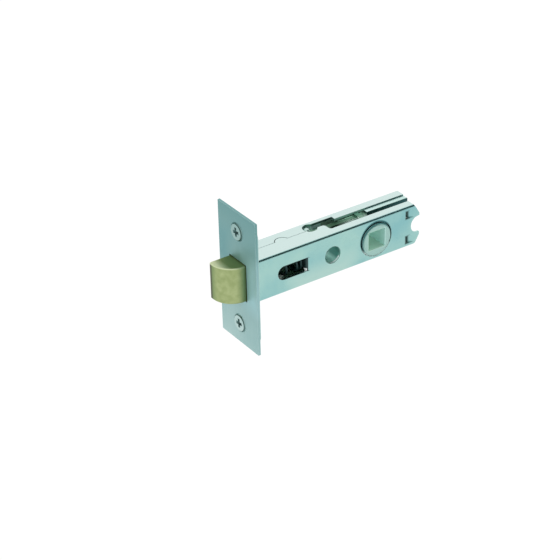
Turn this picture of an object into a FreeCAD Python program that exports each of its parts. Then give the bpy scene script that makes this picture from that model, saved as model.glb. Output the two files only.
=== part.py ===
import FreeCAD, Part
import math
import os

os.makedirs("parts", exist_ok=True)

V = FreeCAD.Vector

# Frame: X runs from the door's edge into the door, Y across the latch toward the bolt's flat side, Z up.
# The origin is where the latch's axis meets the back of the inner forend, the face that seats on the door.

# Sizes of the two forend plates
backset = 60.0  # front of the faceplate to the centre of the hub
faceplate_height = 57.0
faceplate_width = 25.0
faceplate_sheet = 1.0
forend_height = 49.0
forend_width = 22.8
forend_sheet = 1.0
forend_corner = 3.0

# Sizes of the two forend screws
screw_spacing = 40.0
screw_head = 7.2
screw_sink = 0.3  # top of the head below the front of the faceplate
screw_shank = 4.0
screw_length = 8.0
screw_seat_clearance = 0.05
recess_length = 4.4
recess_width = 1.0
recess_depth = 1.3
recess_floor = 1.6
upper_screw_turn = 12.0
lower_screw_turn = -22.0

# Sizes of the folded case
case_width = 14.4
case_height = 18.0
case_sheet = 1.0
case_bend = 1.2  # outside radius of the folds
through_pitch = 42.0  # centres of the two through bolts, one each side of the hub
through_bore = 7.4
collar_wall = 0.7  # round the front through-bolt holes
collar_gap = 0.4
rear_land = 0.5  # case behind the centre of the rear notch
rear_chamfer_length = 2.5  # on the near side
far_chamfer_length = 0.6
rear_chamfer_height = 4.2
tab_height = 6.0  # tabs that pass through the inner forend
tab_clearance = 0.05

# Sizes of the seam along the top of the case
seam_offset = 1.0
seam_gap = 0.15
key_centre = 18.6
key_radius = 2.85
key_rise = 2.0
key_gap = 0.3

# Sizes of the openings in the top and bottom of the case
keyhole_centre = 33.0
keyhole_offset = 2.4
keyhole_diameter = 6.0
slot_far_edge = 4.6
slot_end = 45.0
gap_far_clearance = 0.15
gap_near_clearance = 0.2
gap_front = 38.9
gap_corner = 1.2
bottom_gap_lead = 9.0  # bottom opening in front of the hub's centre

# Sizes of the window and of the tongue bent in from it
window_front = 11.3
window_height = 6.0
tongue_bend_start = 26.0
tongue_bend = 0.5  # inside radius
tongue_kerf = 0.15
tongue_end_gap = 0.4

# Sizes of the two pressed-in ears at the rear of the near wall
ear_slit = 0.9
ear_rear_land = 0.2  # flat wall between an ear and the rear chamfer
ear_length = 4.2
ear_inner_height = 3.9
ear_outer_height = 7.3
ear_depth = 1.2

# Sizes of the latch bolt
bolt_width = 10.8
bolt_height = 15.5
bolt_throw = 9.5
bolt_opening_clearance = 0.35
bolt_tail_length = 9.0
bolt_tail_clearance = 0.2
bolt_stop_gap = 0.1
bevel_start = 1.0  # straight part of the near side in front of the faceplate
bevel_bulge = 2.8
nose_radius = 1.0
bolt_edge = 0.35  # chamfer along the top and bottom rims
bolt_corner = 0.8

# Sizes of the retractor plate
plate_offset = 1.35  # middle of the plate from the latch's axis
plate_thickness = 2.3
plate_slot_clearance = 0.1
web_front = 3.2
arm_height = 1.8
arm_spring_clearance = 0.3
bar_clearance = 0.2  # above the hub's barrel
bar_height = 1.2
strip_inset = 0.5  # top of the strip below the outside of the case
strip_lead = -1.0  # front of the strip ahead of the hub's centre
strip_end_gap = 0.3
ramp_length = 2.5
lug_reach = 3.0
lug_length = 2.0
plate_corner = 0.5
spring_guide_width = 4.0
spring_guide_length = 3.8

# Sizes of the pin that joins the bolt and the retractor
pin_diameter = 3.0
pin_position = 6.0
pin_bolt_clearance = 0.02
pin_plate_clearance = 0.05
pin_end_inset = 0.1

# Sizes of the guide stud that shows in the top slot
stud_lead = 1.1  # stud ahead of the keyhole's centre
stud_offset = 3.0
stud_diameter = 2.4
stud_shank = 1.6
stud_top_inset = 0.4
stud_chamfer = 0.4
stud_clearance = 0.02
pad_length = 5.0
pad_overlap = 0.2
pad_thickness = 1.0

# Sizes of the hub
spindle_square = 8.0
hub_barrel = 12.6
hub_shoulder_clearance = 0.2
hub_shoulder_land = 0.25  # shoulder beyond the rim of the hole in the case
hub_shoulder_width = 0.9
hub_side_clearance = 0.1
hub_boss_clearance = 0.65
hub_boss_proud = 0.4
hub_rim_width = 1.0
hub_rim_step = 0.25
horn_tip = 0.5
horn_root_depth = 0.4
horn_lead_angle = 8.5
horn_trail_angle = 36.0
horn_lift = 0.2
horn_lug_clearance = 0.2
horn_plate_clearance = 0.2

# Sizes of the bolt spring
spring_wire = 1.0
spring_diameter = 9.6  # middle of the wire
spring_turns = 4.0
wire_sides = 6
spring_end_clearance = 0.05

# How far a cut runs past the face that it opens, and what a full-round end is short of its half width
past = 1.0
round_short = 0.01

# Places that follow from the sizes
forend_front = -forend_sheet
faceplate_front = -forend_sheet - faceplate_sheet
hub_x = backset + faceplate_front
side_out = case_width / 2
side_in = side_out - case_sheet
top_out = case_height / 2
top_in = top_out - case_sheet
front_bore_x = hub_x - through_pitch / 2
rear_notch_x = hub_x + through_pitch / 2
case_rear = rear_notch_x + rear_land
slope_x = case_rear - rear_chamfer_length
slope_z = top_out - rear_chamfer_height
ear_rear = slope_x - ear_rear_land
ear_front = ear_rear - ear_length
head_front = faceplate_front + screw_sink
stud_position = keyhole_centre - stud_lead
bolt_tip = faceplate_front - bolt_throw
bolt_flat = bolt_width / 2
tail_half = side_in - bolt_tail_clearance
plate_near = plate_offset - plate_thickness / 2
plate_far = plate_offset + plate_thickness / 2
gap_far = plate_far + gap_far_clearance
gap_near = plate_near - lug_reach - gap_near_clearance
tongue_front = tongue_bend_start - tongue_bend - case_sheet
spring_outer = spring_diameter / 2 + spring_wire / 2
arm_inner = spring_outer + arm_spring_clearance
arm_outer = arm_inner + arm_height
barrel_r = hub_barrel / 2
bar_inner = barrel_r + bar_clearance
bar_outer = bar_inner + bar_height
strip_outer = top_out - strip_inset
strip_front = hub_x - strip_lead
strip_rear = case_rear - strip_end_gap
bar_front = hub_x - barrel_r - bolt_throw - bar_clearance
horn_level = bar_inner + horn_lift
horn_r = math.hypot(bolt_throw / 2, horn_level)
horn_swing = math.degrees(math.atan2(bolt_throw / 2, horn_level))
lug_front = hub_x - bolt_throw / 2 + horn_tip + horn_lug_clearance
shoulder_r = top_in - hub_shoulder_clearance
hub_hole_r = shoulder_r - hub_shoulder_land
boss_r = hub_hole_r - hub_boss_clearance


def prism(points, direction):
    # A flat outline pushed along one direction.
    wire = Part.makePolygon(points + [points[0]])
    return Part.Face(wire).extrude(direction)


def block(x0, x1, y0, y1, z0, z1):
    return Part.makeBox(x1 - x0, y1 - y0, z1 - z0, V(x0, y0, z0))


def rod_x(r, x0, x1, y, z):
    return Part.makeCylinder(r, x1 - x0, V(x0, y, z), V(1, 0, 0))


def rod_y(r, y0, y1, x, z):
    return Part.makeCylinder(r, y1 - y0, V(x, y0, z), V(0, 1, 0))


def rod_z(r, z0, z1, x, y):
    return Part.makeCylinder(r, z1 - z0, V(x, y, z0), V(0, 0, 1))


def edges_along(shape, axis):
    # Straight edges that run along one axis.
    found = []
    for edge in shape.Edges:
        if edge.Curve.TypeId == "Part::GeomLine" and abs(abs(edge.Curve.Direction.dot(axis)) - 1) < 1e-6:
            found.append(edge)
    return found


def edges_near(shape, axis, spots):
    # Straight edges along one axis that pass through one of the spots.
    found = []
    for edge in edges_along(shape, axis):
        middle = edge.CenterOfMass
        for spot in spots:
            step = middle - spot
            if (step - axis * step.dot(axis)).Length < 1e-3:
                found.append(edge)
                break
    return found


def bar_with_round_edges(x0, x1, half_y, half_z, radius):
    bar = block(x0, x1, -half_y, half_y, -half_z, half_z)
    return bar.makeFillet(radius, edges_along(bar, V(1, 0, 0)))


def screw_cut(z, through):
    # Countersink and clearance hole for one forend screw, through both plates.
    mouth_r = screw_head / 2 + screw_sink + screw_seat_clearance
    shank_r = screw_shank / 2 + screw_seat_clearance
    cone = Part.makeCone(mouth_r, shank_r, mouth_r - shank_r, V(faceplate_front, 0, z), V(1, 0, 0))
    return cone.fuse(rod_x(shank_r, faceplate_front, through, 0, z))


def bolt_cut(x0, x1):
    half_y = bolt_width / 2 + bolt_opening_clearance
    half_z = bolt_height / 2 + bolt_opening_clearance
    return bar_with_round_edges(x0, x1, half_y, half_z, bolt_edge)


screw_heights = (screw_spacing / 2, -screw_spacing / 2)

# Faceplate: the square-cornered plate that shows in the door's edge
faceplate = block(
    faceplate_front, forend_front,
    -faceplate_width / 2, faceplate_width / 2,
    -faceplate_height / 2, faceplate_height / 2,
)
faceplate = faceplate.cut(bolt_cut(faceplate_front - past, forend_front + past))
for height in screw_heights:
    faceplate = faceplate.cut(screw_cut(height, past))
faceplate.exportStep("parts/faceplate.step")

# Inner forend: the round-cornered plate behind the faceplate that the case is staked to
inner_forend = block(
    forend_front, 0,
    -forend_width / 2, forend_width / 2,
    -forend_height / 2, forend_height / 2,
)
inner_forend = inner_forend.makeFillet(forend_corner, edges_along(inner_forend, V(1, 0, 0)))
inner_forend = inner_forend.cut(bolt_cut(forend_front - past, past))
for height in screw_heights:
    inner_forend = inner_forend.cut(screw_cut(height, past))
for side in (-1, 1):
    ends = sorted([side * (side_in - tab_clearance), side * (side_out + tab_clearance)])
    half = tab_height / 2 + tab_clearance
    inner_forend = inner_forend.cut(block(forend_front - past, past, ends[0], ends[1], -half, half))
inner_forend.exportStep("parts/inner_forend.step")


# Forend screws: countersunk, with a cross recess
def forend_screw(height, turn):
    head_r = screw_head / 2
    shank_r = screw_shank / 2
    head_end = head_front + head_r - shank_r
    tip = faceplate_front + screw_length
    outline = [
        V(head_front, 0, 0),
        V(head_front, 0, head_r),
        V(head_end, 0, shank_r),
        V(tip - shank_r / 2, 0, shank_r),
        V(tip, 0, shank_r / 2),
        V(tip, 0, 0),
    ]
    wire = Part.makePolygon(outline + [outline[0]])
    screw = Part.Face(wire).revolve(V(0, 0, 0), V(1, 0, 0), 360)
    floor = head_front + recess_depth
    wing = prism(
        [
            V(head_front - past / 10, -recess_width / 2, recess_length / 2),
            V(head_front, -recess_width / 2, recess_length / 2),
            V(floor, -recess_width / 2, recess_floor / 2),
            V(floor, -recess_width / 2, -recess_floor / 2),
            V(head_front, -recess_width / 2, -recess_length / 2),
            V(head_front - past / 10, -recess_width / 2, -recess_length / 2),
        ],
        V(0, recess_width, 0),
    )
    second = wing.copy()
    second.rotate(V(0, 0, 0), V(1, 0, 0), 90)
    screw = screw.cut(wing.fuse(second))
    screw.rotate(V(0, 0, 0), V(1, 0, 0), turn)
    screw.translate(V(0, 0, height))
    return screw


forend_screw(screw_heights[0], upper_screw_turn).exportStep("parts/upper_screw.step")
forend_screw(screw_heights[1], lower_screw_turn).exportStep("parts/lower_screw.step")

# Case: one sheet folded into a box, with its butt seam along the top
case = bar_with_round_edges(0, case_rear, side_out, top_out, case_bend)
case = case.cut(bar_with_round_edges(-past, case_rear + past, side_in, top_in, case_bend - case_sheet))

# Rear corners of the folded sheet, chamfered; the far flanges run further back than the near ones
for up in (-1, 1):
    for side, length in ((-1, rear_chamfer_length), (1, far_chamfer_length)):
        corner = prism(
            [
                V(case_rear - length, 0, up * top_out),
                V(case_rear - length, 0, up * (top_out + past)),
                V(case_rear + past, 0, up * (top_out + past)),
                V(case_rear + past, 0, up * slope_z),
                V(case_rear, 0, up * slope_z),
            ],
            V(0, side * (side_out + past), 0),
        )
        case = case.cut(corner)

# Collars drawn in from both walls round the front through-bolt hole, almost to the middle
for side in (-1, 1):
    ends = sorted([side * collar_gap / 2, side * (side_in + case_sheet / 2)])
    case = case.fuse(rod_y(through_bore / 2 + collar_wall, ends[0], ends[1], front_bore_x, 0))

# Side openings: the hub's holes, the front through-bolt hole and the half-round rear notch
case = case.cut(rod_y(hub_hole_r, -side_out - past, side_out + past, hub_x, 0))
case = case.cut(rod_y(through_bore / 2, -side_out - past, side_out + past, front_bore_x, 0))
case = case.cut(rod_y(through_bore / 2, -side_out - past, side_out + past, rear_notch_x, 0))

# Butt seam with its half-round key: the near flange's lobe sits in a notch in the far flange
cut_low = top_in - past / 2
cut_high = top_out + past / 2
key_y = seam_offset + key_rise - key_radius
lobe = rod_z(key_radius, cut_low, cut_high, key_centre, key_y)
notch = rod_z(key_radius + key_gap, cut_low, cut_high, key_centre, key_y)
beyond = block(
    key_centre - 2 * key_radius, key_centre + 2 * key_radius,
    seam_offset - seam_gap / 2, seam_offset + 2 * key_radius,
    cut_low, cut_high,
)
seam = block(-past, keyhole_centre, seam_offset - seam_gap / 2, seam_offset + seam_gap / 2, cut_low, cut_high)
seam = seam.fuse(notch.common(beyond)).cut(lobe)
case = case.cut(seam)

# Top openings: the stud's keyhole and slot, then the stepped gap over the retractor and the hub's horn
stud_slot = block(keyhole_centre, slot_end, seam_offset, slot_far_edge, cut_low, cut_high)
stud_slot = stud_slot.fuse(rod_z(keyhole_diameter / 2, cut_low, cut_high, keyhole_centre, keyhole_offset))
gap = prism(
    [
        V(keyhole_centre, seam_offset, cut_low),
        V(gap_front, seam_offset, cut_low),
        V(gap_front, gap_near, cut_low),
        V(case_rear + past, gap_near, cut_low),
        V(case_rear + past, gap_far, cut_low),
        V(keyhole_centre, gap_far, cut_low),
    ],
    V(0, 0, cut_high - cut_low),
)
corners = [V(gap_front, seam_offset, 0), V(gap_front, gap_near, 0)]
gap = gap.makeFillet(gap_corner, edges_near(gap, V(0, 0, 1), corners))
case = case.cut(stud_slot.fuse(gap))

# Bottom opening under the hub, for the lower bar and the lower horn
under_front = hub_x - bottom_gap_lead
under = block(under_front, case_rear + past, gap_near, gap_far, -cut_high, -cut_low)
corners = [V(under_front, gap_near, 0), V(under_front, gap_far, 0)]
under = under.makeFillet(gap_corner, edges_near(under, V(0, 0, 1), corners))
case = case.cut(under)

# Round-ended window in the near wall; its sheet is bent in as the tongue that backs the spring
window = block(
    window_front, tongue_bend_start,
    -side_out - past, -side_in + past / 10,
    -window_height / 2, window_height / 2,
)
corners = [V(window_front, 0, -window_height / 2), V(window_front, 0, window_height / 2)]
window = window.makeFillet(window_height / 2 - round_short, edges_near(window, V(0, 1, 0), corners))
case = case.cut(window)
tongue_half = window_height / 2 - tongue_kerf
tongue_tip = side_in - tongue_end_gap
bend_y = -side_in + tongue_bend
outer_bend = tongue_bend + case_sheet
diagonal = math.sqrt(0.5)
tongue_back = tongue_bend_start - tongue_bend
tongue_edges = [
    Part.LineSegment(V(tongue_bend_start, -side_out, 0), V(tongue_bend_start, -side_in, 0)).toShape(),
    Part.Arc(
        V(tongue_bend_start, -side_in, 0),
        V(tongue_bend_start - tongue_bend * diagonal, bend_y - tongue_bend * diagonal, 0),
        V(tongue_back, bend_y, 0),
    ).toShape(),
    Part.LineSegment(V(tongue_back, bend_y, 0), V(tongue_back, tongue_tip, 0)).toShape(),
    Part.LineSegment(V(tongue_back, tongue_tip, 0), V(tongue_front, tongue_tip, 0)).toShape(),
    Part.LineSegment(V(tongue_front, tongue_tip, 0), V(tongue_front, bend_y, 0)).toShape(),
    Part.Arc(
        V(tongue_front, bend_y, 0),
        V(tongue_bend_start - outer_bend * diagonal, bend_y - outer_bend * diagonal, 0),
        V(tongue_bend_start, -side_out, 0),
    ).toShape(),
]
tongue = Part.Face(Part.Wire(tongue_edges)).extrude(V(0, 0, 2 * tongue_half))
tongue.translate(V(0, 0, -tongue_half))
corners = [V(0, tongue_tip, -tongue_half), V(0, tongue_tip, tongue_half)]
tongue = tongue.makeFillet(tongue_half - round_short, edges_near(tongue, V(1, 0, 0), corners))
case = case.fuse(tongue)

# Pressed-in ears near the rear of the near wall, each open at its front slit
for up in (-1, 1):
    low = min(up * ear_inner_height, up * ear_outer_height)
    high = max(up * ear_inner_height, up * ear_outer_height)
    case = case.cut(block(ear_front, ear_rear, -side_out - past, -side_in + past / 10, low, high))
    ear = prism(
        [
            V(ear_front + ear_slit, -side_out + ear_depth, low),
            V(ear_rear, -side_out, low),
            V(ear_rear, -side_in, low),
            V(ear_front + ear_slit, -side_in + ear_depth, low),
        ],
        V(0, 0, high - low),
    )
    case = case.fuse(ear)

# Front tabs of the case, staked through the inner forend
for side in (-1, 1):
    ends = sorted([side * side_in, side * side_out])
    case = case.fuse(block(forend_front, past / 2, ends[0], ends[1], -tab_height / 2, tab_height / 2))
case = case.removeSplitter()
case.exportStep("parts/case.step")

# Latch bolt: a brass bar with a bulging bevel on the near side and a wider tail that stops on the forend
tip_y = bolt_flat - nose_radius
bevel_from = V(faceplate_front - bevel_start, -bolt_flat, 0)
bevel_to = V(bolt_tip, tip_y, 0)
chord = bevel_to - bevel_from
outward = V(-chord.y, chord.x, 0).normalize()
bevel_mid = (bevel_from + bevel_to) * 0.5 + outward * bevel_bulge
nose_mid = V(bolt_tip + nose_radius * (1 - diagonal), tip_y + nose_radius * diagonal, 0)
nose_end = V(bolt_tip + nose_radius, bolt_flat, 0)
head_rear = bolt_stop_gap + past
head_edges = [
    Part.LineSegment(V(head_rear, -bolt_flat, 0), bevel_from).toShape(),
    Part.Arc(bevel_from, bevel_mid, bevel_to).toShape(),
    Part.Arc(bevel_to, nose_mid, nose_end).toShape(),
    Part.LineSegment(nose_end, V(head_rear, bolt_flat, 0)).toShape(),
    Part.LineSegment(V(head_rear, bolt_flat, 0), V(head_rear, -bolt_flat, 0)).toShape(),
]
bolt = Part.Face(Part.Wire(head_edges)).extrude(V(0, 0, bolt_height))
bolt.translate(V(0, 0, -bolt_height / 2))
corners = edges_near(bolt, V(0, 0, 1), [bevel_from, bevel_to])
bolt = bolt.makeFillet(bolt_corner, corners)
rims = []
for edge in bolt.Edges:
    centre = edge.CenterOfMass
    if abs(abs(centre.z) - bolt_height / 2) < 1e-6 and centre.x < head_rear - 0.01:
        rims.append(edge)
bolt = bolt.makeChamfer(bolt_edge, rims)
tail = block(bolt_stop_gap, bolt_tail_length, -tail_half, tail_half, -bolt_height / 2, bolt_height / 2)
tail = tail.makeChamfer(bolt_edge, edges_along(tail, V(1, 0, 0)))
bolt = bolt.fuse(tail)
slot_near = plate_near - plate_slot_clearance
slot_far = plate_far + plate_slot_clearance
plate_slot = block(
    web_front - plate_slot_clearance, bolt_tail_length + past,
    slot_near, slot_far,
    -bolt_height, bolt_height,
)
bolt = bolt.cut(plate_slot)
bolt = bolt.cut(rod_y(pin_diameter / 2 + pin_bolt_clearance, -side_out, side_out, pin_position, 0))
bolt = bolt.removeSplitter()
bolt.exportStep("parts/latch_bolt.step")

# Retractor: a flat plate cut as a long fork, one arm above the hub and one below, open at the rear
half_outline = [
    V(web_front, plate_near, arm_outer),
    V(bar_front - ramp_length, plate_near, arm_outer),
    V(bar_front, plate_near, bar_outer),
    V(strip_front, plate_near, bar_outer),
    V(strip_front, plate_near, strip_outer),
    V(strip_rear, plate_near, strip_outer),
    V(strip_rear, plate_near, bar_inner),
    V(bar_front, plate_near, bar_inner),
    V(bar_front - ramp_length, plate_near, arm_inner),
    V(bolt_tail_length, plate_near, arm_inner),
    V(bolt_tail_length, plate_near, spring_guide_width / 2),
    V(bolt_tail_length + spring_guide_length, plate_near, spring_guide_width / 2),
]
mirrored = [V(p.x, p.y, -p.z) for p in reversed(half_outline)]
retractor = prism(half_outline + mirrored, V(0, plate_thickness, 0))
rounded = [half_outline[0], half_outline[5], half_outline[6], half_outline[9], half_outline[11]]
rounded = rounded + [V(p.x, p.y, -p.z) for p in rounded]
retractor = retractor.makeFillet(plate_corner, edges_near(retractor, V(0, 1, 0), rounded))

# Lugs bent toward the near side, which the hub's horns push
for up in (-1, 1):
    low = min(up * bar_inner, up * strip_outer)
    high = max(up * bar_inner, up * strip_outer)
    lug = block(lug_front, lug_front + lug_length, plate_near - lug_reach, plate_far, low, high)
    bends = [V(lug_front, plate_far, 0), V(lug_front + lug_length, plate_near - lug_reach, 0)]
    lug = lug.makeFillet(plate_corner, edges_near(lug, V(0, 0, 1), bends))
    retractor = retractor.fuse(lug)

# Pad bent toward the far side of the upper arm, which carries the guide stud
pad_end = stud_offset + stud_diameter / 2 + pad_overlap
pad_low = arm_outer - pad_thickness
pad_front = stud_position - pad_length / 2
pad_rear = stud_position + pad_length / 2
pad = block(pad_front, pad_rear, plate_near, pad_end, pad_low, arm_outer)
corners = [V(pad_front, pad_end, 0), V(pad_rear, pad_end, 0)]
pad = pad.makeFillet(plate_corner, edges_near(pad, V(0, 0, 1), corners))
retractor = retractor.fuse(pad)
stud_hole_r = stud_shank / 2 + stud_clearance
retractor = retractor.cut(rod_z(stud_hole_r, pad_low, top_out, stud_position, stud_offset))
retractor = retractor.cut(rod_y(pin_diameter / 2 + pin_plate_clearance, -side_out, side_out, pin_position, 0))
retractor = retractor.removeSplitter()
retractor.exportStep("parts/retractor.step")

# Cross pin that joins the bolt and the retractor
pin_half = tail_half - pin_end_inset
bolt_pin = rod_y(pin_diameter / 2, -pin_half, pin_half, pin_position, 0)
bolt_pin.exportStep("parts/bolt_pin.step")

# Guide stud: a small rivet whose round head rides in the top slot
stud_top = top_out - stud_top_inset
stud_r = stud_diameter / 2
crown_r = stud_r - stud_chamfer
crown_base = stud_top - stud_chamfer
stud_outline = [
    Part.LineSegment(V(0, 0, pad_low), V(stud_shank / 2, 0, pad_low)).toShape(),
    Part.LineSegment(V(stud_shank / 2, 0, pad_low), V(stud_shank / 2, 0, arm_outer)).toShape(),
    Part.LineSegment(V(stud_shank / 2, 0, arm_outer), V(stud_r, 0, arm_outer)).toShape(),
    Part.LineSegment(V(stud_r, 0, arm_outer), V(stud_r, 0, crown_base)).toShape(),
    Part.LineSegment(V(stud_r, 0, crown_base), V(crown_r, 0, stud_top)).toShape(),
    Part.LineSegment(V(crown_r, 0, stud_top), V(0, 0, stud_top)).toShape(),
    Part.LineSegment(V(0, 0, stud_top), V(0, 0, pad_low)).toShape(),
]
guide_stud = Part.Face(Part.Wire(stud_outline)).revolve(V(0, 0, 0), V(0, 0, 1), 360)
guide_stud.translate(V(stud_position, stud_offset, 0))
guide_stud.exportStep("parts/guide_stud.step")

# Bolt spring: half rings of six-sided wire, tilted to and fro so that each runs into the next
spring_from = bolt_tail_length + spring_end_clearance + spring_wire / 2
spring_to = tongue_front - spring_end_clearance - spring_wire / 2
half_turns = round(2 * spring_turns)
rise = (spring_to - spring_from) / half_turns
tilt = math.asin(rise / spring_diameter)
half_rings = []
for number in range(half_turns):
    side = 1 if number % 2 else -1
    start = V(spring_from + rise * number, 0, side * spring_diameter / 2 * math.cos(tilt))
    middle = V(spring_from + rise * (number + 0.5), 0, 0)
    axis = V(math.cos(tilt), 0, side * math.sin(tilt))
    outline = []
    for corner in range(wire_sides + 1):
        angle = 2 * math.pi * corner / wire_sides
        outline.append(start + V(math.cos(angle), 0, math.sin(angle)) * (spring_wire / 2))
    half_rings.append(Part.Face(Part.makePolygon(outline)).revolve(middle, axis, 180))
spring = half_rings[0].fuse(half_rings[1:]).Solids[0]
spring.exportStep("parts/bolt_spring.step")

# Hub: a turned barrel with a shoulder and a boss at each wall, a square hole and two horns
boss_end = side_out + hub_boss_proud
shoulder_end = side_in - hub_side_clearance
shoulder_start = shoulder_end - hub_shoulder_width
half_section = [
    V(0, 0, 0),
    V(barrel_r, 0, 0),
    V(barrel_r, shoulder_start, 0),
    V(shoulder_r, shoulder_start, 0),
    V(shoulder_r, shoulder_end, 0),
    V(boss_r, shoulder_end, 0),
    V(boss_r, boss_end - hub_rim_step, 0),
    V(boss_r - hub_rim_width, boss_end - hub_rim_step, 0),
    V(boss_r - hub_rim_width, boss_end, 0),
    V(0, boss_end, 0),
]
section = Part.Face(Part.makePolygon(half_section + [half_section[0]]))
far_half = section.revolve(V(0, 0, 0), V(0, 1, 0), 360)
near_half = far_half.mirror(V(0, 0, 0), V(0, 1, 0))
hub = far_half.fuse(near_half)
horn_far = plate_near - horn_plate_clearance
horn_near = plate_near - lug_reach
root_r = barrel_r - horn_root_depth
lead_root = math.radians(horn_lead_angle)
trail_root = math.radians(horn_trail_angle)
horn_points = [
    V(horn_tip, horn_near, horn_r),
    V(-root_r * math.sin(lead_root), horn_near, root_r * math.cos(lead_root)),
    V(-root_r * math.sin(trail_root), horn_near, root_r * math.cos(trail_root)),
    V(-horn_tip * diagonal, horn_near, horn_r + horn_tip * diagonal),
]
horn = prism(horn_points, V(0, horn_far - horn_near, 0))
horn = horn.fuse(rod_y(horn_tip, horn_near, horn_far, 0, horn_r))
horn.rotate(V(0, 0, 0), V(0, 1, 0), -horn_swing)
hub = hub.fuse(horn).fuse(horn.mirror(V(0, 0, 0), V(0, 0, 1)))
square_half = spindle_square / 2
square = block(-square_half, square_half, -case_width, case_width, -square_half, square_half)
hub = hub.cut(square)
hub = hub.removeSplitter()
hub.translate(V(hub_x, 0, 0))
hub.exportStep("parts/hub.step")
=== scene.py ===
import math

import bpy
from mathutils import Matrix, Vector


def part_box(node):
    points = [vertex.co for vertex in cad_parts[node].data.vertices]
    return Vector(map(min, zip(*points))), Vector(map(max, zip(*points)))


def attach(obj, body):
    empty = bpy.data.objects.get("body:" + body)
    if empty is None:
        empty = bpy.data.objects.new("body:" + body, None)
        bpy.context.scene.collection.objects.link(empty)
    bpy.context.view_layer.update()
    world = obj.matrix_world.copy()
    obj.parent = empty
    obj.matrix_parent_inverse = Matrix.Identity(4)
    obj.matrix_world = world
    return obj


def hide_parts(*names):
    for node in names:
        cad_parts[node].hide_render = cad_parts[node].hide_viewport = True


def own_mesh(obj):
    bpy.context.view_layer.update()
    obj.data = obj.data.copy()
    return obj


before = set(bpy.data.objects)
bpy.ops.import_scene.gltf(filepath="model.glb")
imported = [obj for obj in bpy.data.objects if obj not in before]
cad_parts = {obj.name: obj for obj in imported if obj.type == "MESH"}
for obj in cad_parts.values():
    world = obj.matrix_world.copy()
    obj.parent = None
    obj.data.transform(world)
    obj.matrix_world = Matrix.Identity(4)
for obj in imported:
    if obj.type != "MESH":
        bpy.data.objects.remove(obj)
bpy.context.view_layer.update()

# Case: one strip of mild steel folded into a box, with its butt seam, keyhole and gap on top.
# It is bright zinc plated: a thin bluish film that drifts from place to place. Both flanges carry a painted
# highlight, its edges a lighter tint that is part wear and part painted highlight, and the inside is dull,
# with painted shade round the spring and painted light and shade in and round its holes, gaps, seam and
# slits.
MM = 0.001


def feed(tree, socket, value):
    """Links an input to another socket, or sets it to a plain value."""
    if isinstance(value, bpy.types.NodeSocket):
        tree.links.new(value, socket)
    else:
        socket.default_value = value


def add(tree, kind, inputs=None, **settings):
    """A new node in a tree, with its settings made first and its inputs fed after them."""
    node = tree.nodes.new("ShaderNode" + kind)
    for name, value in settings.items():
        setattr(node, name, value)
    for name, value in (inputs or {}).items():
        feed(tree, node.inputs[name], value)
    return node


def combine(tree, operation, first, second, kind="Math"):
    """A sum, difference, product, share, least or most of two sockets or values."""
    return add(tree, kind, {0: first, 1: second}, operation=operation).outputs[0]


def mix_colours(tree, share, first, second):
    """Two colours mixed by a mask."""
    mix = add(tree, "Mix", {"Factor": share, "A": first, "B": second}, data_type="RGBA")
    return mix.outputs["Result"]


def mix_values(tree, share, first, second):
    """Two numbers mixed by a mask."""
    return add(tree, "MapRange", {"Value": share, "To Min": first, "To Max": second}).outputs["Result"]


def new_group(name, inputs, outputs):
    """An empty shader group with float or vector inputs and outputs, and its two end nodes."""
    tree = bpy.data.node_groups.new(name, "ShaderNodeTree")
    for label, value in inputs.items():
        kind = "NodeSocketFloat" if isinstance(value, float) else "NodeSocketVector"
        socket = tree.interface.new_socket(label, in_out="INPUT", socket_type=kind)
        socket.default_value = value
    for label, kind in outputs.items():
        tree.interface.new_socket(label, in_out="OUTPUT", socket_type="NodeSocket" + kind)
    return tree, tree.nodes.new("NodeGroupInput"), tree.nodes.new("NodeGroupOutput")


def place_group(tree, group, inputs):
    """A group put into a material, with its own values."""
    return add(tree, "Group", inputs, node_tree=group)


# Edge wear and highlight: the rounding of a sharp arris, and a mask of how near the surface is to one. The
# lighter tint laid through this mask is part edge wear and part painted highlight.
edge_wear_and_highlight, given, out = new_group("edge_wear_and_highlight", {"Radius": 0.15 * MM}, {"Edge": "Float", "Normal": "Vector"})
rounded = add(edge_wear_and_highlight, "Bevel", {"Radius": given.outputs["Radius"]}, samples=6)
flat = add(edge_wear_and_highlight, "NewGeometry")
turned = add(
    edge_wear_and_highlight, "VectorMath", {0: rounded.outputs["Normal"], 1: flat.outputs["Normal"]},
    operation="DOT_PRODUCT",
)
near_edge = add(edge_wear_and_highlight, "MapRange", {
    "Value": turned.outputs["Value"], "From Min": 0.995, "From Max": 0.8,
})
edge_wear_and_highlight.links.new(near_edge.outputs["Result"], out.inputs["Edge"])
edge_wear_and_highlight.links.new(rounded.outputs["Normal"], out.inputs["Normal"])

# Drawn lines: fine streaks along one direction of the sheet or bar
drawn_lines, given, out = new_group("drawn_lines", {"Stretch": (1.0, 1.0, 1.0)}, {"Lines": "Float"})
where = add(drawn_lines, "TexCoord")
stretched = combine(drawn_lines, "MULTIPLY", where.outputs["Object"], given.outputs["Stretch"], "VectorMath")
streaks = add(drawn_lines, "TexNoise", {"Vector": stretched, "Scale": 1.0, "Detail": 5.0, "Roughness": 0.65})
drawn_lines.links.new(streaks.outputs["Fac"], out.inputs["Lines"])

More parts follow.
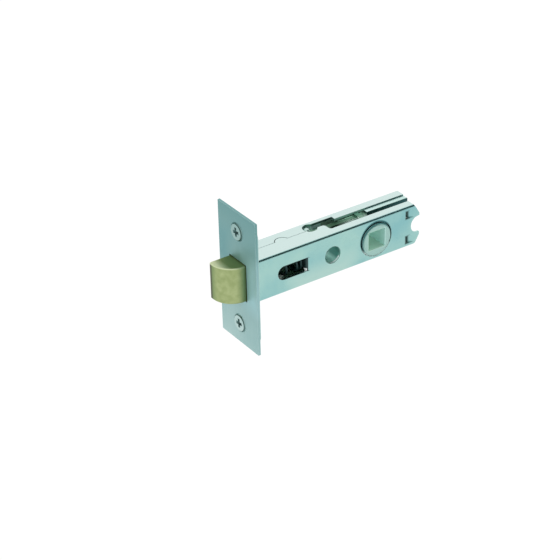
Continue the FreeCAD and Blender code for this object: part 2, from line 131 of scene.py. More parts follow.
# Clouds: slow changes of tint over a plated or tumbled surface, and a fine grain
clouds, given, out = new_group(
    "clouds", {"Scale": 60.0, "Grain": 1500.0}, {"Cloud": "Float", "Speck": "Float"},
)
where = add(clouds, "TexCoord")
slow = add(clouds, "TexNoise", {
    "Vector": where.outputs["Object"], "Scale": given.outputs["Scale"], "Detail": 3.0, "Roughness": 0.5,
})
spread = add(clouds, "MapRange", {"Value": slow.outputs["Fac"], "From Min": 0.3, "From Max": 0.7})
quick = add(clouds, "TexNoise", {
    "Vector": where.outputs["Object"], "Scale": given.outputs["Grain"], "Detail": 4.0, "Roughness": 0.6,
})
clouds.links.new(spread.outputs["Result"], out.inputs["Cloud"])
clouds.links.new(quick.outputs["Fac"], out.inputs["Speck"])

# Zone: a mask that is 1 inside a box of the latch's own frame and fades to 0 over a border inside it
zone_mask, given, out = new_group(
    "zone_mask", {"Low": (0.0, 0.0, 0.0), "High": (0.0, 0.0, 0.0), "Border": (MM, MM, MM)}, {"Mask": "Float"},
)
where = add(zone_mask, "TexCoord").outputs["Object"]
above = combine(zone_mask, "SUBTRACT", where, given.outputs["Low"], "VectorMath")
below = combine(zone_mask, "SUBTRACT", given.outputs["High"], where, "VectorMath")
depth = combine(zone_mask, "MINIMUM", above, below, "VectorMath")
share = combine(zone_mask, "DIVIDE", depth, given.outputs["Border"], "VectorMath")
apart = add(zone_mask, "SeparateXYZ", {"Vector": share})
least = combine(zone_mask, "MINIMUM", apart.outputs["X"], apart.outputs["Y"])
least = combine(zone_mask, "MINIMUM", least, apart.outputs["Z"])
held = add(zone_mask, "Clamp", {"Value": least})
zone_mask.links.new(held.outputs["Result"], out.inputs["Mask"])

# Round zone: the same within a radius of a line along Y
round_mask, given, out = new_group(
    "round_mask", {"Centre": (0.0, 0.0, 0.0), "Radius": 1.0 * MM, "Border": 0.1 * MM}, {"Mask": "Float"},
)
where = add(round_mask, "TexCoord").outputs["Object"]
offset = combine(round_mask, "SUBTRACT", where, given.outputs["Centre"], "VectorMath")
level = combine(round_mask, "MULTIPLY", offset, (1.0, 0.0, 1.0), "VectorMath")
span = add(round_mask, "VectorMath", {0: level}, operation="LENGTH")
within = combine(round_mask, "SUBTRACT", given.outputs["Radius"], span.outputs["Value"])
share = combine(round_mask, "DIVIDE", within, given.outputs["Border"])
held = add(round_mask, "Clamp", {"Value": share})
round_mask.links.new(held.outputs["Result"], out.inputs["Mask"])


def metal(name, colours, roughness, stretch, cloud_scale, edge_radius, line_height, metallic=1.0, zones=()):
    """A metal finish: two tints that drift over it, a lighter arris that is part wear and part painted
    highlight, the lines that it was drawn with, and zones of another colour, each a box or a round with its
    border, colour, roughness and metal share; most of these zones hold painted light or painted shade.
    A box may have a border of its own along each axis. A later zone covers an earlier one."""
    deep, pale, edge_wear_and_highlight_tint = colours
    material = bpy.data.materials.new(name)
    material.use_nodes = True
    tree = material.node_tree
    shader = tree.nodes["Principled BSDF"]
    drift = place_group(tree, clouds, {"Scale": cloud_scale, "Grain": 25.0 * cloud_scale})
    edges = place_group(tree, edge_wear_and_highlight, {"Radius": edge_radius})
    lines = place_group(tree, drawn_lines, {"Stretch": stretch})
    colour = mix_colours(tree, drift.outputs["Cloud"], (*deep, 1.0), (*pale, 1.0))
    smooth, coarse = roughness
    rough = add(tree, "MapRange", {
        "Value": lines.outputs["Lines"], "From Min": 0.25, "From Max": 0.75,
        "To Min": smooth, "To Max": coarse,
    }).outputs["Result"]
    for zone in zones:
        if "radius" in zone:
            extent = {"Centre": zone["centre"], "Radius": zone["radius"], "Border": zone["border"]}
            place = place_group(tree, round_mask, extent)
        else:
            border = zone["border"]
            borders = border if isinstance(border, tuple) else (border, border, border)
            extent = {"Low": zone["low"], "High": zone["high"], "Border": borders}
            place = place_group(tree, zone_mask, extent)
        mask = place.outputs["Mask"]
        colour = mix_colours(tree, mask, colour, (*zone["colour"], 1.0))
        rough = mix_values(tree, mask, rough, zone["roughness"])
        metallic = mix_values(tree, mask, metallic, zone["metallic"])
    # The lighter arris tint: part edge wear, part painted highlight.
    worn_and_lit = mix_colours(tree, edges.outputs["Edge"], colour, (*edge_wear_and_highlight_tint, 1.0))
    texture = combine(tree, "ADD", lines.outputs["Lines"], drift.outputs["Speck"])
    bump = add(tree, "Bump", {
        "Strength": 0.6, "Distance": line_height, "Height": texture, "Normal": edges.outputs["Normal"],
    })
    feed(tree, shader.inputs["Base Color"], worn_and_lit)
    feed(tree, shader.inputs["Roughness"], rough)
    feed(tree, shader.inputs["Metallic"], metallic)
    feed(tree, shader.inputs["Normal"], bump.outputs["Normal"])
    return material


def dress(node, material):
    """Gives a solid of the frame its finish."""
    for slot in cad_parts[node].material_slots:
        slot.material = material


FAR = 1.0
CRISP = 0.08 * MM
FLANGE_LEVEL = 8.9 * MM
INNER_HALF_WIDTH = 6.3 * MM
INNER_HALF_HEIGHT = 8.1 * MM
EAR_FRONT, EAR_BACK = 72.2 * MM, 74.9 * MM
EAR_NEAR, EAR_FAR, EAR_DEPTH = 3.4 * MM, 7.7 * MM, -4.0 * MM
greener_middle = {
    "low": (14.0 * MM, -FAR, -FAR), "high": (50.0 * MM, FAR, 1.0 * MM), "border": 7.0 * MM,
    "colour": (0.43, 0.645, 0.595), "roughness": 0.25, "metallic": 1.0,
}
# Painted highlight: both flanges are tinted paler than the walls, standing in for the light on the top.
painted_highlight_top_flange = {
    "low": (-FAR, -FAR, FLANGE_LEVEL), "high": (FAR, FAR, FAR), "border": CRISP,
    "colour": (0.555, 0.70, 0.675), "roughness": 0.3, "metallic": 1.0,
}
painted_highlight_bottom_flange = dict(painted_highlight_top_flange, low=(-FAR, -FAR, -FAR), high=(FAR, FAR, -FLANGE_LEVEL))
inside = {
    "low": (-FAR, -INNER_HALF_WIDTH, -INNER_HALF_HEIGHT),
    "high": (FAR, INNER_HALF_WIDTH, INNER_HALF_HEIGHT), "border": CRISP,
    "colour": (0.34, 0.56, 0.43), "roughness": 0.5, "metallic": 0.5,
}
# Painted shade: a dark ring round the hub's hole in the case wall, thicker above, where the gap round the
# boss is in shadow.
painted_hub_shade = {
    "centre": (57.9 * MM, 0.0, 0.35 * MM), "radius": 7.85 * MM, "border": 0.3 * MM,
    "colour": (0.04, 0.17, 0.18), "roughness": 0.4, "metallic": 0.8,
}
# Painted light: the lower near wall of the hub's hole is made pale matt white, so that the gap reads lighter.
painted_light_hole_wall = {
    "low": (49.0 * MM, -7.15 * MM, -8.0 * MM), "high": (66.0 * MM, -6.1 * MM, -3.5 * MM), "border": 0.1 * MM,
    "colour": (0.85, 1.0, 0.98), "roughness": 0.4, "metallic": 0.0,
}
# Painted light: a pale, less metallic patch on the far inner wall under the top gap.
lit_wall = {
    "low": (32.0 * MM, 5.9 * MM, 3.0 * MM), "high": (41.0 * MM, 6.5 * MM, 8.05 * MM), "border": 0.25 * MM,
    "colour": (0.55, 0.86, 0.80), "roughness": 0.5, "metallic": 0.3,
}
# Painted shade: the walls of the seam's key arc are made near black.
shaded_key = {
    "low": (15.2 * MM, 0.9 * MM, 8.02 * MM), "high": (19.8 * MM, 3.5 * MM, 8.94 * MM), "border": 0.03 * MM,
    "colour": (0.015, 0.04, 0.04), "roughness": 0.6, "metallic": 0.3,
}
# Painted shade: the cut edge of the far flange along the top gap is darkened.
shaded_far_cut_edge = {
    "low": (44.0 * MM, 2.5 * MM, 8.02 * MM), "high": (60.0 * MM, 2.8 * MM, 8.95 * MM), "border": 0.05 * MM,
    "colour": (0.21, 0.42, 0.34), "roughness": 0.4, "metallic": 0.3,
}
# Painted shade: the inside round the spring is darkened.
shaded_spring_chamber = dict(
    inside, high=(27.5 * MM, INNER_HALF_WIDTH, INNER_HALF_HEIGHT), border=1.5 * MM,
    colour=(0.07, 0.14, 0.135), roughness=0.45,
)
# Painted light: the collars round the through hole are made pale, lighting the inside of the bore.
painted_light_collar = {
    "low": (33.2 * MM, -6.9 * MM, -3.8 * MM), "high": (40.8 * MM, 6.9 * MM, 3.8 * MM), "border": 0.1 * MM,
    "colour": (0.56, 0.83, 0.77), "roughness": 0.4, "metallic": 0.7,
}
# Painted shade: the bore's far and upper walls are darkened.
shaded_bore = dict(
    painted_light_collar, low=(37.2 * MM, -7.1 * MM, -3.4 * MM), high=(43.0 * MM, 6.9 * MM, 6.0 * MM), border=1.2 * MM,
    colour=(0.13, 0.33, 0.29),
)
# Painted highlight: a bright crescent on the lower near lip of the bore.
painted_highlight_lip = dict(
    painted_light_collar, low=(36.2 * MM, -7.0 * MM, -3.8 * MM), high=(40.8 * MM, -6.0 * MM, -1.5 * MM), border=0.2 * MM,
    colour=(0.92, 1.0, 1.0), metallic=0.3,
)
# Painted shade: the tongue behind the side window is made near black.
shaded_tongue = {
    "low": (23.0 * MM, -7.12 * MM, -2.9 * MM), "high": (25.9 * MM, 7.0 * MM, 2.9 * MM), "border": CRISP,
    "colour": (0.03, 0.06, 0.06), "roughness": 0.4, "metallic": 0.6,
}
# Painted glint: a small white spot at the tongue's lower corner.
painted_glint_tongue = {
    "low": (24.1 * MM, -6.9 * MM, -FAR), "high": (25.3 * MM, -5.3 * MM, -1.9 * MM), "border": 0.15 * MM,
    "colour": (0.95, 1.0, 1.0), "roughness": 0.5, "metallic": 0.0,
}
# Painted shade: the pressed-in ears at the rear are darkened round their slits.
shaded_upper_ear = {
    "low": (EAR_FRONT, -FAR, EAR_NEAR), "high": (EAR_BACK, EAR_DEPTH, EAR_FAR), "border": 0.7 * MM,
    "colour": (0.02, 0.06, 0.055), "roughness": 0.5, "metallic": 0.5,
}
shaded_lower_ear = dict(
    shaded_upper_ear, low=(EAR_FRONT, -FAR, -EAR_FAR), high=(EAR_BACK, EAR_DEPTH, -EAR_NEAR),
)
zinc = metal(
    "bright_zinc_plate",
    colours=((0.255, 0.515, 0.525), (0.385, 0.63, 0.58), (0.60, 0.79, 0.77)),
    roughness=(0.2, 0.3), stretch=(60.0, 900.0, 900.0), cloud_scale=70.0,
    edge_radius=0.15 * MM, line_height=0.006 * MM,
    zones=(
        greener_middle, painted_hub_shade, painted_highlight_top_flange, painted_highlight_bottom_flange, inside, painted_light_hole_wall, lit_wall, shaded_key,
        shaded_far_cut_edge, shaded_spring_chamber, painted_light_collar, shaded_bore, painted_highlight_lip, shaded_tongue, painted_glint_tongue,
        shaded_upper_ear, shaded_lower_ear,
    ),
)
dress("case", zinc)

# Inner forend: a plate of the same plated steel, staked to the front of the case by its tabs.
# Its round corners leave the faceplate's square ones bare behind.
forend_zinc = metal(
    "forend_zinc_plate",
    colours=((0.31, 0.54, 0.53), (0.39, 0.60, 0.57), (0.62, 0.80, 0.78)),
    roughness=(0.26, 0.36), stretch=(900.0, 900.0, 60.0), cloud_scale=70.0,
    edge_radius=0.15 * MM, line_height=0.008 * MM,
)
dress("inner_forend", forend_zinc)

# Faceplate: a steel plate with a satin finish, brushed along its length, and darkened toward its upper end by
# painted shade. Painted light lifts its near side beside the bolt, it is darker toward its far side above the
# middle, and painted shade fills the bolt's opening. The two screws hold it.
PLATE_HALF = 28.5 * MM
# Painted shade: the faceplate darkens toward its upper end.
painted_shade_upper_end = {
    "low": (-FAR, -FAR, -PLATE_HALF), "high": (FAR, FAR, FAR), "border": 2 * PLATE_HALF,
    "colour": (0.165, 0.355, 0.355), "roughness": 0.5, "metallic": 0.7,
}
# Painted shade: the bolt's opening and what lies behind it are darkened.
shaded_opening = {
    "low": (-1.93 * MM, -6.5 * MM, -9.0 * MM), "high": (FAR, 6.5 * MM, 9.0 * MM), "border": 0.05 * MM,
    "colour": (0.04, 0.08, 0.08), "roughness": 0.5, "metallic": 0.8,
}
# Painted light: the near side beside the bolt is made lighter and bluer.
painted_light_near_side = {
    "low": (-FAR, -15.0 * MM, -14.0 * MM), "high": (FAR, -1.0 * MM, 14.5 * MM),
    "border": (MM, 6.0 * MM, 10.0 * MM),
    "colour": (0.355, 0.61, 0.64), "roughness": 0.5, "metallic": 0.6,
}
# Darker toward the far side, above the middle.
darker_far_side = {
    "low": (-FAR, 2.0 * MM, 0.0), "high": (FAR, FAR, 22.0 * MM), "border": 7.0 * MM,
    "colour": (0.17, 0.375, 0.385), "roughness": 0.5, "metallic": 0.7,
}
satin = metal(
    "satin_faceplate",
    colours=((0.32, 0.525, 0.52), (0.43, 0.615, 0.60), (0.56, 0.74, 0.73)),
    roughness=(0.42, 0.56), stretch=(900.0, 1100.0, 45.0), cloud_scale=40.0,
    edge_radius=0.15 * MM, line_height=0.012 * MM, metallic=0.7,
    zones=(painted_shade_upper_end, painted_light_near_side, darker_far_side, shaded_opening),
)
dress("faceplate", satin)

# Latch bolt: a bar of brass, milled to its bevel and tumbled, so that its rims are soft and lighter, part
# wear and part painted highlight. A painted highlight runs round its upper rim near the nose, its top is
# painted pale at the nose and shaded toward the faceplate, and painted shade darkens its bottom, its far
# side, the far edge of its nose and its root. It slides in the case and shows in front of the faceplate.
TOP_FACE_LEVEL = 7.65 * MM
# Painted light and shade: the top is painted pale at the nose and shaded toward the faceplate, and the bottom
# is painted dark.
painted_pale_top = {
    "low": (-FAR, -FAR, TOP_FACE_LEVEL), "high": (FAR, FAR, FAR), "border": CRISP,
    "colour": (0.58, 0.64, 0.40), "roughness": 0.5, "metallic": 1.0,
}
shaded_top = dict(
    painted_pale_top, low=(-10.2 * MM, -FAR, TOP_FACE_LEVEL), border=(3.2 * MM, CRISP, CRISP),
    colour=(0.20, 0.27, 0.10),
)
shaded_bottom = dict(shaded_top, low=(-FAR, -FAR, -FAR), high=(FAR, FAR, -TOP_FACE_LEVEL), border=CRISP)
# Painted shade: a dark band along the rounded far edge of the nose.
shaded_nose_edge = {
    "low": (-FAR, 3.0 * MM, -FAR), "high": (FAR, 5.45 * MM, FAR), "border": (MM, 0.8 * MM, MM),
    "colour": (0.11, 0.13, 0.075), "roughness": 0.5, "metallic": 1.0,
}
# Painted shade: the bolt darkens toward its root at the faceplate.
shaded_root = {
    "low": (-6.0 * MM, -FAR, -FAR), "high": (FAR, FAR, FAR), "border": 4.0 * MM,
    "colour": (0.19, 0.25, 0.11), "roughness": 0.45, "metallic": 1.0,
}
# Painted highlight: a pale band round the upper rim of the bolt.
painted_highlight_rim = {
    "low": (-FAR, -FAR, 7.2 * MM), "high": (FAR, FAR, FAR), "border": 0.3 * MM,
    "colour": (0.60, 0.68, 0.42), "roughness": 0.4, "metallic": 1.0,
}
# Painted shade: the far side of the bolt is darkened.
shaded_far_nose = {
    "low": (-FAR, 0.6 * MM, -FAR), "high": (FAR, FAR, FAR), "border": 2.6 * MM,
    "colour": (0.22, 0.31, 0.13), "roughness": 0.45, "metallic": 1.0,
}
brass = metal(
    "tumbled_brass",
    colours=((0.33, 0.405, 0.178), (0.435, 0.51, 0.252), (0.58, 0.65, 0.40)),
    roughness=(0.36, 0.5), stretch=(500.0, 500.0, 120.0), cloud_scale=420.0,
    edge_radius=0.3 * MM, line_height=0.025 * MM,
    zones=(shaded_far_nose, shaded_nose_edge, painted_highlight_rim, shaded_root, painted_pale_top, shaded_top, shaded_bottom),
)
dress("latch_bolt", brass)

# Retractor, its pin and its guide stud: a fork of dull phosphated plate and two rivets, hooked behind
# the bolt. A painted highlight runs along the top edge of its rear, painted shade darkens the rest of its
# rear and its lug, painted light lifts its near face, the far edge of its top, the lug's front and a lower
# arm, and it is darker toward its front.
REAR_START = 58.6 * MM
# Painted highlight: the top edge of the rear is made bright.
painted_highlight_edge = {
    "low": (REAR_START, -FAR, 8.35 * MM), "high": (FAR, FAR, FAR), "border": 0.1 * MM,
    "colour": (0.52, 0.72, 0.68), "roughness": 0.3, "metallic": 1.0,
}
# Painted shade: the rear of the fork, behind the hub, is made near black.
shaded_rear = {
    "low": (REAR_START, -FAR, -FAR), "high": (FAR, FAR, FAR), "border": 0.5 * MM,
    "colour": (0.02, 0.085, 0.09), "roughness": 0.4, "metallic": 0.8,
}
# Painted light: a pale matt strip on the near face of the bars under the top gap.
painted_light_side = {
    "low": (40.0 * MM, -0.3 * MM, 5.0 * MM), "high": (59.0 * MM, 0.35 * MM, 7.65 * MM), "border": CRISP,
    "colour": (0.82, 1.0, 0.91), "roughness": 0.5, "metallic": 0.0,
}
# Painted light: the front face of the lug is made pale.
painted_light_lug = dict(
    painted_light_side, low=(53.6 * MM, -3.1 * MM, 7.75 * MM), high=(54.15 * MM, -0.3 * MM, 8.42 * MM),
)
# Painted light: the far edge of the bars' top is made lighter.
painted_light_far_top = dict(
    painted_light_side, low=(46.0 * MM, 1.7 * MM, 7.0 * MM), high=(58.0 * MM, 2.9 * MM, 8.2 * MM), border=0.3 * MM,
    colour=(0.45, 0.85, 0.62), metallic=0.5,
)
# Painted shade: the lug and the bars round it are darkened.
shaded_lug = dict(
    painted_light_side, low=(52.8 * MM, -0.8 * MM, 7.2 * MM), high=(57.6 * MM, FAR, FAR), border=1.0 * MM,
    colour=(0.085, 0.25, 0.17), metallic=0.8,
)
# Darker toward its front.
darker_front = {
    "low": (36.0 * MM, -FAR, -FAR), "high": (50.5 * MM, FAR, FAR), "border": 6.5 * MM,
    "colour": (0.025, 0.085, 0.04), "roughness": 0.45, "metallic": 0.8,
}
# Painted light: a pale matt patch on the lower arm, seen through the side window.
painted_light_arm = {
    "low": (14.6 * MM, -1.0 * MM, -7.6 * MM), "high": (18.9 * MM, 0.6 * MM, -5.0 * MM), "border": 0.4 * MM,
    "colour": (0.90, 1.0, 0.96), "roughness": 0.5, "metallic": 0.0,
}
phosphate = metal(
    "phosphated_plate",
    colours=((0.15, 0.30, 0.21), (0.21, 0.37, 0.27), (0.26, 0.42, 0.32)),
    roughness=(0.4, 0.55), stretch=(80.0, 900.0, 900.0), cloud_scale=90.0,
    edge_radius=0.1 * MM, line_height=0.01 * MM, metallic=0.8,
    zones=(painted_light_side, painted_light_far_top, shaded_lug, painted_light_lug, darker_front, shaded_rear, painted_highlight_edge, painted_light_arm),
)
dress("retractor", phosphate)
rivet_steel = metal(
    "rivet_steel",
    colours=((0.42, 0.60, 0.55), (0.50, 0.66, 0.61), (0.62, 0.78, 0.75)),
    roughness=(0.24, 0.34), stretch=(900.0, 900.0, 900.0), cloud_scale=200.0,
    edge_radius=0.15 * MM, line_height=0.006 * MM,
)
dress("bolt_pin", rivet_steel)
dress("guide_stud", rivet_steel)

# Bolt spring: dark oil-tempered round wire, coiled with its two ends closed, one wire on the next.
# It stands between the bolt's tail and the tongue, and is squeezed against the tongue as the bolt goes in.
WIRE_RADIUS = 0.5 * MM
COIL_RADIUS = 4.8 * MM
WIRE_SIDES = 14
STEPS_PER_TURN = 40
END_TURNS = 1.0
END_PITCH = 2.02 * WIRE_RADIUS
OPEN_TURNS = 2.5
WELD_GAP = 0.02 * MM
SMOOTH_WIRE = math.radians(50.0)


def begin():
    """Leaves edit mode and clears the selection, before a new piece is started."""
    if bpy.context.mode != "OBJECT":
        bpy.ops.object.mode_set(mode="OBJECT")
    bpy.ops.object.select_all(action="DESELECT")


def take(piece):
    """Makes one piece the active one and the only one selected."""
    begin()
    bpy.context.view_layer.objects.active = piece
    piece.select_set(True)


def settle(piece):
    """Puts a piece's place into its mesh and leaves its object at the origin."""
    take(piece)
    bpy.ops.object.transform_apply(location=True, rotation=True, scale=True)


def apply_modifier(piece, kind, **settings):
    """Adds one modifier to a piece and applies it."""
    take(piece)
    modifier = piece.modifiers.new("step", kind)
    for name, value in settings.items():
        setattr(modifier, name, value)
    bpy.ops.object.modifier_apply(modifier="step")


def close_up(piece, gap):
    """Merges doubled points, closes open ends and turns the faces outward."""
    take(piece)
    bpy.ops.object.mode_set(mode="EDIT")
    bpy.ops.mesh.select_all(action="SELECT")
    bpy.ops.mesh.remove_doubles(threshold=gap)
    bpy.ops.mesh.select_all(action="SELECT")
    bpy.ops.mesh.fill_holes(sides=0)
    bpy.ops.mesh.select_all(action="SELECT")
    bpy.ops.mesh.normals_make_consistent(inside=False)
    bpy.ops.object.mode_set(mode="OBJECT")


def wind(start, side, radius, section, sides, rise, turns, steps):
    """A length of wire or thread, wound along X from a small round or three-sided section."""
    begin()
    bpy.ops.mesh.primitive_circle_add(
        vertices=sides, radius=section,
        location=(start, 0.0, side * radius), rotation=(math.pi / 2, 0.0, 0.0),
    )
    length = bpy.context.object
    settle(length)
    apply_modifier(
        length, "SCREW", axis="X", angle=2 * math.pi * turns, screw_offset=rise, iterations=1,
        steps=steps, render_steps=steps, use_merge_vertices=False,
    )
    return length


spring_low, spring_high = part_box("bolt_spring")
first_turn = spring_low[0] + WIRE_RADIUS
last_turn = spring_high[0] - WIRE_RADIUS
end_rise = END_TURNS * END_PITCH
open_rise = last_turn - first_turn - 2 * end_rise
stretches = (
    (first_turn, 1, end_rise, END_TURNS),
    (first_turn + end_rise, 1, open_rise, OPEN_TURNS),
    (last_turn - end_rise, -1, end_rise, END_TURNS),
)
lengths = []
for start, side, rise, turns in stretches:
    steps = round(STEPS_PER_TURN * turns)
    lengths.append(wind(start, side, COIL_RADIUS, WIRE_RADIUS, WIRE_SIDES, rise, turns, steps))
begin()
for length in lengths:
    length.select_set(True)
spring = lengths[0]
bpy.context.view_layer.objects.active = spring
bpy.ops.object.join()
spring.name = "coiled_spring"
close_up(spring, WELD_GAP)
bpy.ops.object.shade_smooth_by_angle(angle=SMOOTH_WIRE)
oiled_wire = metal(
    "oiled_spring_wire",
    colours=((0.012, 0.04, 0.04), (0.022, 0.06, 0.06), (0.03, 0.07, 0.07)),
    roughness=(0.5, 0.6), stretch=(600.0, 600.0, 600.0), cloud_scale=300.0,
    edge_radius=0.05 * MM, line_height=0.004 * MM, metallic=0.4,
)
spring.data.materials.clear()
spring.data.materials.append(oiled_wire)
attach(spring, "latch_case")
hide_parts("bolt_spring")
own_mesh(spring)

# Hub: a die-cast zinc barrel with a boss in each wall of the case and a square hole for the spindle.
# Casting leaves it paler and more matt than the plated sheet round it. Painted shade darkens its shoulders
# and its horns and leaves a crescent at the upper rim of each face, and painted light lifts the foot of the
# shoulders and the walls of the square hole.
SHOULDER_REACH = 7.5 * MM
SQUARE_FRONT, SQUARE_BACK, SQUARE_HALF = 53.7 * MM, 62.3 * MM, 4.3 * MM
# Painted shade: the hub is darkened across the boss, save where the zones below lift it.
shaded_shoulder = {
    "low": (-FAR, -SHOULDER_REACH, -FAR), "high": (FAR, SHOULDER_REACH, FAR), "border": 0.1 * MM,
    "colour": (0.03, 0.15, 0.15), "roughness": 0.4, "metallic": 0.8,
}
# Painted light: the lower part of the shoulders is made pale matt white.
painted_light_foot = dict(
    shaded_shoulder, high=(FAR, SHOULDER_REACH, -3.5 * MM), border=1.5 * MM,
    colour=(0.85, 1.0, 0.98), metallic=0.0,
)
# The hub's own tone over an off-centre round of each face, leaving a crescent of painted shade at its upper
# rim.
unshaded_face = {
    "centre": (58.35 * MM, 0.0, -0.55 * MM), "radius": 6.95 * MM, "border": 0.5 * MM,
    "colour": (0.36, 0.58, 0.53), "roughness": 0.4, "metallic": 0.7,
}
# Painted shade: the horns under the top gap are a dim green.
shaded_horns = dict(
    shaded_shoulder, low=(-FAR, -5.9 * MM, 4.5 * MM), high=(FAR, 5.9 * MM, FAR), colour=(0.22, 0.40, 0.30),
)
# Painted light: the walls of the square hole are made pale and less metallic.
painted_light_square = {
    "low": (SQUARE_FRONT, -FAR, -SQUARE_HALF), "high": (SQUARE_BACK, FAR, SQUARE_HALF),
    "border": 0.2 * MM, "colour": (0.46, 0.70, 0.58), "roughness": 0.5, "metallic": 0.3,
}
# Painted light: the far wall of the square is made paler still.
painted_light_far_wall = dict(painted_light_square, low=(61.8 * MM, -FAR, -SQUARE_HALF), colour=(0.55, 0.86, 0.82))
cast_zinc = metal(
    "cast_zinc",
    colours=((0.31, 0.535, 0.49), (0.41, 0.62, 0.57), (0.62, 0.80, 0.77)),
    roughness=(0.34, 0.46), stretch=(300.0, 300.0, 300.0), cloud_scale=150.0,
    edge_radius=0.12 * MM, line_height=0.02 * MM, metallic=0.7,
    zones=(shaded_shoulder, painted_light_foot, unshaded_face, shaded_horns, painted_light_square, painted_light_far_wall),
)
dress("hub", cast_zinc)

# Screws: countersunk steel, rolled with a thread and punched with a tapered cross recess.
# They hold the two plates together, with the rims of their heads a little proud of the faceplate. Painted
# shade darkens the rims and cross recesses of their heads, and darkens the heads toward the faceplate's upper
# end.
HEAD_SIDES = 64
HEAD_RISE = 0.75 * MM
HEAD_FACE_RADIUS = 3.15 * MM
HEAD_RIM_RADIUS = 3.35 * MM
HEAD_BEVEL = 0.15 * MM
HEAD_DARK_EDGE = (0.04 * MM, 0.45 * MM)
CORE_RADIUS = 1.55 * MM
THREAD_START = -0.2 * MM
THREAD_RADIUS = 2.0 * MM
THREAD_SIZE = 0.4 * MM
THREAD_SIDES = 3
THREAD_PITCH = 0.9 * MM
THREAD_TURNS = 5.0
THREAD_STEPS = 24
RECESS_LENGTH = 4.2 * MM
RECESS_WIDTH = 1.35 * MM
RECESS_DEPTH = 1.4 * MM
RECESS_TAPER = (1.0, 0.6, 0.32)
RECESS_REACH = 2.3 * MM
RECESS_SHADE_END = -0.05 * MM
PUNCH_LEAD = 0.1 * MM
SAME_POINT = 0.001 * MM
SMOOTH_SCREW = math.radians(30.0)
SCREW_TURNS = {"upper_screw": -7.0, "lower_screw": -4.0}


def push_ends(distance, scale, centre):
    """Draws the selected end out along X and makes it smaller or larger."""
    bpy.ops.mesh.extrude_region_move(TRANSFORM_OT_translate={"value": (distance, 0.0, 0.0)})
    bpy.ops.transform.resize(value=(1.0, scale, scale), center_override=(centre, 0.0, 0.0))


head_low, head_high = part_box("upper_screw")
seat_front, screw_tip = head_low[0], head_high[0]
head_front = seat_front - HEAD_RISE
head_radius = (head_high[1] - head_low[1]) / 2
head_back = seat_front + head_radius - CORE_RADIUS
begin()
bpy.ops.mesh.primitive_circle_add(
    vertices=HEAD_SIDES, radius=HEAD_FACE_RADIUS, fill_type="NGON",
    location=(head_front, 0.0, 0.0), rotation=(0.0, math.pi / 2, 0.0),
)
pattern = bpy.context.object
settle(pattern)
bpy.ops.object.mode_set(mode="EDIT")
bpy.ops.mesh.select_all(action="SELECT")
push_ends(HEAD_BEVEL, HEAD_RIM_RADIUS / HEAD_FACE_RADIUS, head_front)
push_ends(HEAD_RISE - HEAD_BEVEL, head_radius / HEAD_RIM_RADIUS, seat_front)
push_ends(head_back - seat_front, CORE_RADIUS / head_radius, head_back)
push_ends(screw_tip - CORE_RADIUS / 2 - head_back, 1.0, head_back)
push_ends(CORE_RADIUS / 2, 0.5, screw_tip)
close_up(pattern, SAME_POINT)
thread = wind(
    THREAD_START, 1, THREAD_RADIUS - THREAD_SIZE, THREAD_SIZE, THREAD_SIDES,
    THREAD_PITCH * THREAD_TURNS, THREAD_TURNS, round(THREAD_STEPS * THREAD_TURNS),
)
close_up(thread, SAME_POINT)
apply_modifier(pattern, "BOOLEAN", operation="UNION", object=thread, solver="EXACT")
bpy.data.objects.remove(thread)
for quarter in (0.0, math.pi / 2):
    begin()
    punch_middle = head_front + RECESS_DEPTH / 2 - PUNCH_LEAD
    bpy.ops.mesh.primitive_cube_add(size=1.0, location=(punch_middle, 0.0, 0.0))
    punch = bpy.context.object
    punch.scale = (RECESS_DEPTH + 2 * PUNCH_LEAD, RECESS_WIDTH, RECESS_LENGTH)
    settle(punch)
    bpy.ops.object.mode_set(mode="EDIT")
    bpy.ops.mesh.select_all(action="DESELECT")
    bpy.ops.object.mode_set(mode="OBJECT")
    for face in punch.data.polygons:
        face.select = face.normal.x > 0.9
    bpy.ops.object.mode_set(mode="EDIT")
    bpy.ops.mesh.select_mode(type="FACE")
    bpy.ops.transform.resize(value=RECESS_TAPER, center_override=(head_front + RECESS_DEPTH, 0.0, 0.0))
    bpy.ops.object.mode_set(mode="OBJECT")
    punch.rotation_euler = (quarter, 0.0, 0.0)
    settle(punch)
    apply_modifier(pattern, "BOOLEAN", operation="DIFFERENCE", object=punch, solver="EXACT")
    bpy.data.objects.remove(punch)
close_up(pattern, SAME_POINT)
dark_from, dark_to = (head_front + depth for depth in HEAD_DARK_EDGE)
# Painted shade: the heads darken toward the faceplate's upper end, as the faceplate does.
shaded_upper_head = dict(painted_shade_upper_end, colour=(0.30, 0.47, 0.45), metallic=1.0)
# Painted shade: a dark band round the bevel and rim of each head.
shaded_head_edge = {
    "low": (dark_from, -FAR, -FAR), "high": (dark_to, FAR, FAR), "border": 0.04 * MM,
    "colour": (0.04, 0.11, 0.095), "roughness": 0.5, "metallic": 0.6,
}
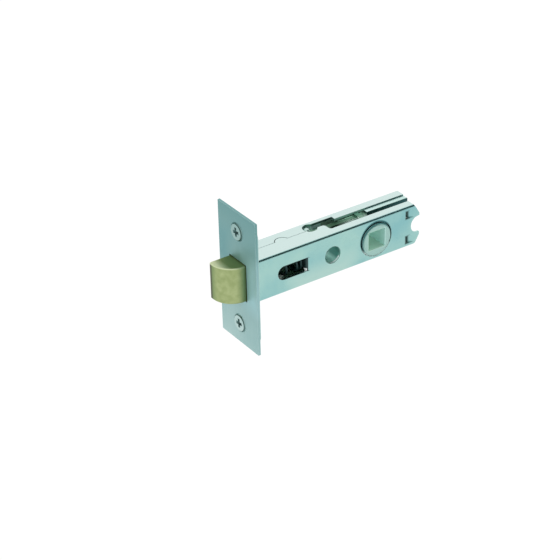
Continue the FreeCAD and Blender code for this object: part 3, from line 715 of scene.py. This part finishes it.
# Painted shade: the cross recess of each head is darkened.
shaded_recesses = []
for node in SCREW_TURNS:
    node_low, node_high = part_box(node)
    middle = (node_low[2] + node_high[2]) / 2
    shaded_recesses.append(dict(
        shaded_head_edge, low=(dark_from, -RECESS_REACH, middle - RECESS_REACH),
        high=(RECESS_SHADE_END, RECESS_REACH, middle + RECESS_REACH), colour=(0.10, 0.20, 0.19),
    ))
screw_steel = metal(
    "screw_steel",
    colours=((0.46, 0.63, 0.61), (0.55, 0.71, 0.69), (0.62, 0.78, 0.76)),
    roughness=(0.32, 0.44), stretch=(500.0, 500.0, 500.0), cloud_scale=250.0,
    edge_radius=0.05 * MM, line_height=0.01 * MM,
    zones=(shaded_upper_head, shaded_head_edge, *shaded_recesses),
)
for node, turn in SCREW_TURNS.items():
    node_low, node_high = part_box(node)
    screw = pattern.copy()
    screw.data = pattern.data.copy()
    screw.name = "threaded_" + node
    bpy.context.collection.objects.link(screw)
    screw.rotation_euler = (math.radians(turn), 0.0, 0.0)
    screw.location = (0.0, 0.0, (node_low[2] + node_high[2]) / 2)
    settle(screw)
    bpy.ops.object.shade_smooth_by_angle(angle=SMOOTH_SCREW)
    screw.data.materials.clear()
    screw.data.materials.append(screw_steel)
    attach(screw, "latch_case")
    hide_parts(node)
bpy.data.objects.remove(pattern)

# Studio: a pale floor well below the latch, a white surround, one broad soft light above and behind, and
# a dark card high on the near side, which draws the dark line along the near fold of the case.
FLOOR_SIZE = 8.0
FLOOR_HEIGHT = -0.25
LIGHT_SIZE, LIGHT_POWER, LIGHT_DISTANCE = 1.4, 1.0, 1.1
LIGHT_SIDE = (0.48, 0.71, 0.51)
CARD_SIZE, CARD_DISTANCE = 1.0, 1.0
CARD_SIDE = (0.48, -0.51, 0.71)
begin()
bpy.ops.mesh.primitive_plane_add(size=FLOOR_SIZE, location=(0.0, 0.0, FLOOR_HEIGHT))
floor = bpy.context.object
floor.name = "floor"
settle(floor)
paper = bpy.data.materials.new("pale_paper")
paper.use_nodes = True
tree = paper.node_tree
tree.nodes.remove(tree.nodes["Principled BSDF"])
path = add(tree, "LightPath")
seen = combine(tree, "MAXIMUM", path.outputs["Is Camera Ray"], path.outputs["Is Glossy Ray"])
seen = combine(tree, "MAXIMUM", seen, path.outputs["Is Transmission Ray"])
matt = add(tree, "BsdfDiffuse", {"Color": (0.8, 0.8, 0.8, 1.0)})
lift = mix_values(tree, seen, 0.0, 0.2)
glow = add(tree, "Emission", {"Color": (1.0, 1.0, 1.0, 1.0), "Strength": lift})
both = add(tree, "AddShader", {0: matt.outputs["BSDF"], 1: glow.outputs["Emission"]})
tree.links.new(both.outputs["Shader"], tree.nodes["Material Output"].inputs["Surface"])
floor.data.materials.append(paper)

world = bpy.data.worlds.new("studio")
bpy.context.scene.world = world
world.use_nodes = True
surround = world.node_tree.nodes["Background"]
surround.inputs["Color"].default_value = (1.0, 1.0, 1.0, 1.0)
surround.inputs["Strength"].default_value = 1.0

latch_middle = Vector((0.034, 0.0, 0.0))


def facing(direction, distance):
    """The place and turn of something that looks at the middle of the latch."""
    away = Vector(direction).normalized()
    return latch_middle + away * distance, away.to_track_quat("Z", "Y").to_euler()


overhead = bpy.data.lights.new("overhead", "AREA")
overhead.shape = "SQUARE"
overhead.size = LIGHT_SIZE
overhead.energy = LIGHT_POWER
overhead.color = (1.0, 0.86, 0.86)
lamp = bpy.data.objects.new("overhead", overhead)
lamp.location, lamp.rotation_euler = facing(LIGHT_SIDE, LIGHT_DISTANCE)
bpy.context.collection.objects.link(lamp)

begin()
bpy.ops.mesh.primitive_plane_add(size=CARD_SIZE)
card = bpy.context.object
card.name = "dark_card"
card.location, card.rotation_euler = facing(CARD_SIDE, CARD_DISTANCE)
settle(card)
card.visible_camera = False
card.visible_diffuse = False
card.visible_shadow = False
black_paper = bpy.data.materials.new("black_paper")
black_paper.use_nodes = True
card_shader = black_paper.node_tree.nodes["Principled BSDF"]
card_shader.inputs["Base Color"].default_value = (0.0, 0.035, 0.04, 1.0)
card_shader.inputs["Roughness"].default_value = 0.9
card.data.materials.append(black_paper)

# Camera: high in front of the latch, on its near side, with a long lens. It was fitted to the photo's
# corners and centres, so its place and angles are measured ones.
CAMERA_LENS, CAMERA_SENSOR = 112.9, 36.0
CAMERA_PLACE = (-0.30827, -0.48171, 0.33947)
CAMERA_TURN, CAMERA_TIP, CAMERA_ROLL = (math.radians(angle) for angle in (-34.03, 90.0 - 30.84, -1.2737))
camera_data = bpy.data.cameras.new("camera")
camera_data.lens = CAMERA_LENS
camera_data.sensor_width = CAMERA_SENSOR
camera = bpy.data.objects.new("camera", camera_data)
look = (
    Matrix.Rotation(CAMERA_TURN, 4, "Z")
    @ Matrix.Rotation(CAMERA_TIP, 4, "X")
    @ Matrix.Rotation(CAMERA_ROLL, 4, "Z")
)
camera.matrix_world = Matrix.Translation(CAMERA_PLACE) @ look
bpy.context.collection.objects.link(camera)
bpy.context.scene.camera = camera
bpy.context.scene.view_settings.view_transform = "Standard"
